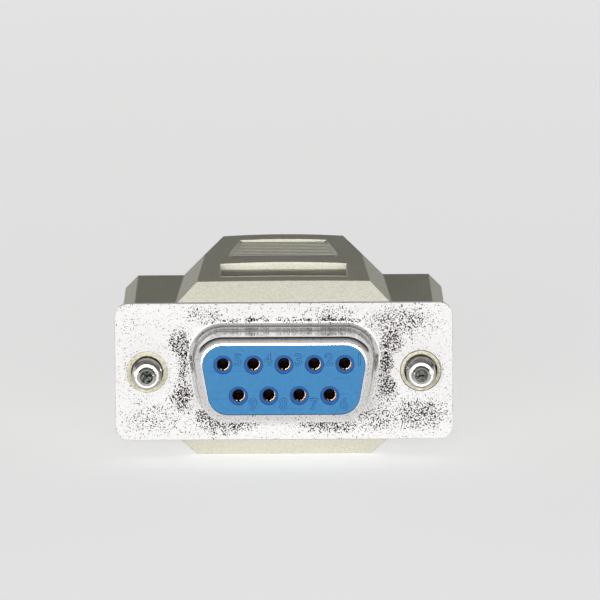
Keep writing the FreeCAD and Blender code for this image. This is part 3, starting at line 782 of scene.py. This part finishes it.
# The most that its smooth surfaces turn from face to face, in degrees
FLANK_TURN = 20
# Share of the way from root to crest, row by row within one pitch: root, flank, crest, flank
THREAD_SHAPE = (0, 0, 0.35, 0.8, 1, 1, 0.8, 0.35)
# The dog point: its rounded end as (radius, distance from the tip), and the step behind it
POINT_END = ((0, 0), (0.55, 0), (0.6, 0.02), (0.72, 0.1), (0.82, 0.2), (0.88, 0.32), (0.9, 0.46))
POINT_RADIUS, STEP_RADIUS, STEP_LENGTH = 0.9 * MM, 1.02 * MM, 0.25 * MM


def thread(bm, side):
    """A helical surface that fades out at both ends."""
    rows = len(THREAD_SHAPE)
    laps = math.ceil((THREAD_BACK - THREAD_FRONT) / THREAD_PITCH) + 1
    grid = []
    for row in range(-rows, laps * rows + 1):
        line = []
        for step in range(SCREW_COUNT + 1):
            depth = THREAD_FRONT + THREAD_PITCH * (row / rows + step / SCREW_COUNT)
            inside = min(max(depth, THREAD_FRONT), THREAD_BACK)
            margin = min(inside - THREAD_FRONT, THREAD_BACK - inside)
            full = min(1.0, margin / THREAD_RUNOUT)
            radius = ROOT_RADIUS + (CREST_RADIUS - ROOT_RADIUS) * THREAD_SHAPE[row % rows] * full
            angle = 2 * math.pi * step / SCREW_COUNT
            at = (side + radius * math.cos(angle), inside, radius * math.sin(angle))
            line.append(bm.verts.new(at))
        grid.append(line)
    for line, following in zip(grid, grid[1:]):
        for step in range(SCREW_COUNT):
            bm.faces.new((line[step], line[step + 1], following[step + 1], following[step]))


def screw_piece(hand, side, material):
    """A turned screw with a rolled thread behind its dog point."""
    node = f"jackscrew_{hand}"
    low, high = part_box(node)
    step_front = THREAD_FRONT + STEP_LENGTH
    point = [(radius * MM, low.y + back * MM) for radius, back in POINT_END]
    point += [(POINT_RADIUS, step_front), (STEP_RADIUS, step_front)]
    point += [(STEP_RADIUS, THREAD_FRONT), (ROOT_RADIUS, THREAD_FRONT)]
    shank = [
        (ROOT_RADIUS, THREAD_BACK), (SHANK_RADIUS, THREAD_BACK + 0.01 * MM),
        (SHANK_RADIUS, high.y), (0, high.y),
    ]
    bm = bmesh.new()
    lathe(bm, point, SCREW_COUNT, side)
    lathe(bm, shank, SCREW_COUNT, side)
    thread(bm, side)
    bmesh.ops.remove_doubles(bm, verts=bm.verts, dist=WELD)
    bmesh.ops.dissolve_degenerate(bm, edges=bm.edges, dist=WELD)
    screw = from_bmesh(f"threaded_screw_{hand}", bm)
    smooth(screw, FLANK_TURN)
    place(screw, f"{hand}_screw", "screw_steel", material, node)


# Front shell: the rounding of its sheared edges, which turn by more than an angle in degrees, and
# the most that its smooth bends turn from face to face

SHEARED_ROUND, SHEARED_TURN = 0.06 * MM, 50
BEND_TURN = 21


def shell_piece(material, edge_shade_material):
    """The pressed front shell, its sheared edges slightly rounded, bare of tin and darkened partly as
    painted shade.
    """
    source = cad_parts["front_shell"]
    bm = bmesh.new()
    bm.from_mesh(source.data)
    bm.transform(source.matrix_world)
    bmesh.ops.remove_doubles(bm, verts=bm.verts, dist=WELD)
    shell = from_bmesh("tin_front_shell", bm)
    shell.data.materials.append(material)
    shell.data.materials.append(edge_shade_material)
    round_edges(shell, SHEARED_ROUND, segments=2, angle=SHEARED_TURN, material_index=1)
    smooth(shell, BEND_TURN)
    flat_faces_shade_flat(shell)
    place(shell, "connector", "tin_plate", material, "front_shell")


# Generic numbers by the contacts. Each row has its own place for them beside and above a contact.

NUMBER_SIZE = 1.5 * MM
NUMBER_RELIEF = 0.045 * MM
NUMBER_SHADE_LINE = 0.038 * MM
UPPER_PLACE = (1.33 * MM, 0.39 * MM)
LOWER_PLACE = (1.3 * MM, -0.84 * MM)


def written(name, characters, at, line=None):
    """A mesh of raised characters that face -Y, or of a round line along their outline."""
    shape = bpy.data.curves.new(name, "FONT")
    shape.body = characters
    shape.size = NUMBER_SIZE
    if line:
        shape.fill_mode = "NONE"
        shape.bevel_depth = line
        shape.bevel_resolution = 0
    else:
        shape.extrude = NUMBER_RELIEF
    shape.align_x = "CENTER"
    shape.align_y = "CENTER"
    text = bpy.data.objects.new(name, shape)
    bpy.context.scene.collection.objects.link(text)
    text.rotation_euler = (math.pi / 2, 0, 0)
    text.location = at
    bpy.context.view_layer.update()
    graph = bpy.context.evaluated_depsgraph_get()
    mesh = bpy.data.meshes.new_from_object(text.evaluated_get(graph))
    mesh.transform(text.matrix_world)
    bpy.data.objects.remove(text)
    return mesh


def number_pieces(material, edge_shade_material):
    """Moulded contact numbers on the insulator's face, each with a dark line of painted shade round
    it.
    """
    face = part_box("insulator_front")[0].y
    for number in range(1, 10):
        contact = middle(f"contact_{number}")
        beside, above = UPPER_PLACE if contact.z > 0 else LOWER_PLACE
        at = (contact.x + beside, face, contact.z + above)
        # painted shade: a dark blue line round each number stands for the shade at its foot
        kinds = (("number", material, None), ("number_shade_line", edge_shade_material, NUMBER_SHADE_LINE))
        for kind, finish, line in kinds:
            mesh = written(f"{kind}_{number}", str(number), at, line)
            piece = bpy.data.objects.new(f"moulded_{kind}_{number}", mesh)
            bpy.context.scene.collection.objects.link(piece)
            place(piece, "connector", "blue_plastic", finish)


# Camera, light and floor

# Lamps: name, place in metres, (width, height) and power in watts
LAMPS = (
    ("front_softbox", (-0.04, -0.88, 0.095), (0.6, 0.18), 7.8),
    ("rear_softbox_left", (-0.52, 0.68, 0.055), (0.4, 0.1), 2.4),
    ("rear_softbox_right", (0.52, 0.68, 0.055), (0.4, 0.1), 2.4),
)
FLOOR_HALF, WALL_RADIUS, WALL_HEIGHT = 3.2, 3, 1.2
STAGE_TONE, STAGE_GLOW = 0.5, 0.66
SKY_TONE, SKY_STRENGTH = (1, 0.96, 0.8, 1), 0.03
# What gloss sees overhead, from in front of the object (0) over it (0.5) to behind it (1): a glow
# that fades towards the top, a dark gap and a pale panel behind
GLOSS_LEVELS = ((0.0, 0.8), (0.35, 0.26), (0.5, 0.16), (0.58, 0.01), (0.82, 0.01), (0.87, 0.85))


def set_camera():
    """A camera at the photograph's viewing angle."""
    data = bpy.data.cameras.new("camera")
    data.sensor_width = SENSOR_MM
    data.lens = SENSOR_MM * SCALE_PX * CAMERA_DISTANCE / IMAGE_PX
    data.clip_start, data.clip_end = CAMERA_CLIP
    camera = bpy.data.objects.new("camera", data)
    bpy.context.scene.collection.objects.link(camera)
    ahead = Vector((0, math.cos(CAMERA_ELEVATION), -math.sin(CAMERA_ELEVATION)))
    right = Vector((1, 0, 0))
    up = right.cross(ahead)
    stand = -ahead * CAMERA_DISTANCE
    target = right * AIM_RIGHT + up * AIM_UP
    turn = (target - stand).normalized().to_track_quat("-Z", "Y").to_matrix().to_4x4()
    roll = Matrix.Rotation(-CAMERA_ROLL, 4, "Z")
    camera.matrix_world = Matrix.Translation(stand) @ turn @ roll
    bpy.context.scene.camera = camera


def set_light():
    """One broad low lamp behind the camera and two weaker ones behind the object."""
    for name, at, size, power in LAMPS:
        data = bpy.data.lights.new(name, "AREA")
        data.shape = "RECTANGLE"
        data.size, data.size_y = size
        data.energy = power
        lamp = bpy.data.objects.new(name, data)
        bpy.context.scene.collection.objects.link(lamp)
        lamp.location = at
        lamp.rotation_euler = (-Vector(at)).to_track_quat("-Z", "Y").to_euler()


def backdrop_glow(tree):
    """One for rays from the camera, from gloss and through glass, nothing for the rest."""
    path = tree.nodes.new("ShaderNodeLightPath")
    seen = joined(tree, "MAXIMUM", path.outputs["Is Camera Ray"], path.outputs["Is Glossy Ray"])
    return joined(tree, "MAXIMUM", seen, path.outputs["Is Transmission Ray"])


def stage_piece(name, piece):
    """A matte pale stage that looks lit to the camera and to gloss."""
    material = bpy.data.materials.new(name)
    material.use_nodes = True
    tree = material.node_tree
    shader = tree.nodes["Principled BSDF"]
    shader.inputs["Base Color"].default_value = (STAGE_TONE, STAGE_TONE, STAGE_TONE, 1)
    shader.inputs["Roughness"].default_value = 0.9
    shader.inputs["Specular IOR Level"].default_value = 0.0
    shader.inputs["Emission Color"].default_value = WHITE
    glow = spread(tree, backdrop_glow(tree), 0.0, STAGE_GLOW)
    tree.links.new(glow, shader.inputs["Emission Strength"])
    piece.data.materials.append(material)


def set_stage():
    """A plain pale floor under the hood's lower flat, with a low round wall."""
    floor_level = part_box("hood")[0].z
    bm = bmesh.new()
    bmesh.ops.create_grid(bm, x_segments=1, y_segments=1, size=FLOOR_HALF)
    floor = from_bmesh("floor", bm)
    bm = bmesh.new()
    lathe(bm, [(WALL_RADIUS, 0), (WALL_RADIUS, WALL_HEIGHT)], count=96)
    bm.transform(Matrix.Rotation(math.pi / 2, 4, "X"))
    wall = from_bmesh("wall", bm)
    for name, piece in (("pale_floor", floor), ("pale_wall", wall)):
        piece.location = (0, 0, floor_level)
        stage_piece(name, piece)


def set_sky():
    """A dim warm sky, and for gloss alone a panel whose level changes from front to back."""
    world = bpy.data.worlds.new("studio")
    bpy.context.scene.world = world
    world.use_nodes = True
    tree = world.node_tree
    sky = tree.nodes["Background"]
    sky.inputs["Color"].default_value = SKY_TONE
    sky.inputs["Strength"].default_value = SKY_STRENGTH
    direction = tree.nodes.new("ShaderNodeTexCoord").outputs["Generated"]
    ahead = fade_in(tree, along(tree, direction, "Y"), -1, 1)
    stops = [(at, (level, level, level, 1)) for at, level in GLOSS_LEVELS]
    panel = tree.nodes.new("ShaderNodeBackground")
    tree.links.new(ramp(tree, ahead, *stops), panel.inputs["Color"])
    gloss = tree.nodes.new("ShaderNodeLightPath").outputs["Is Glossy Ray"]
    tree.links.new(gloss, panel.inputs["Strength"])
    both = tree.nodes.new("ShaderNodeAddShader")
    tree.links.new(sky.outputs[0], both.inputs[0])
    tree.links.new(panel.outputs[0], both.inputs[1])
    tree.links.new(both.outputs[0], tree.nodes["World Output"].inputs["Surface"])


bpy.context.scene.view_settings.view_transform = "Standard"
set_camera()
set_stage()
set_sky()
set_light()

ivory = ivory_plastic()
tin = tin_plate()
# the sheared edges: bare steel, whose dark brown also paints the thin gap shadow where the shell meets
# the insulator
sheared = metal("sheared_edge_bare_and_gap_shade", colour(112, 72, 56), roughness=0.65)
blue = blue_plastic("blue_insulator", colour(54, 132, 187), colour(0, 88, 158))
blue_shade_line = blue_plastic("blue_insulator_shade_line", colour(14, 74, 138), colour(14, 74, 138))
gold = gold_plate()
nickel = metal(
    "nickel_plate", colour(205, 203, 198), roughness=0.2, wear_scale=4, relief=0.006,
    overlay=torn_tip,
)
spring = metal("spring_steel_bright", colour(150, 150, 152), roughness=0.3)
grey_core = plain_plastic("grey_core", colour(120, 120, 116), roughness=0.5)
knob = plain_plastic("ivory_knob", colour(224, 221, 200), roughness=0.45)

hood_piece(ivory)
for hand, side in (("left", -SCREW_SIDE), ("right", SCREW_SIDE)):
    screw_piece(hand, side, nickel)
shell_piece(tin, sheared)
number_pieces(blue, blue_shade_line)

finishes = {
    "hood_plastic": ivory, "core_plastic": grey_core, "tin_plate": tin, "blue_plastic": blue,
    "gold_plate": gold, "screw_steel": nickel, "spring_steel": spring, "knob_plastic": knob,
}
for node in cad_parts.values():
    for entry in node.material_slots:
        slot_name = entry.material.name.split(".")[0]
        if slot_name in finishes:
            entry.material = finishes[slot_name]
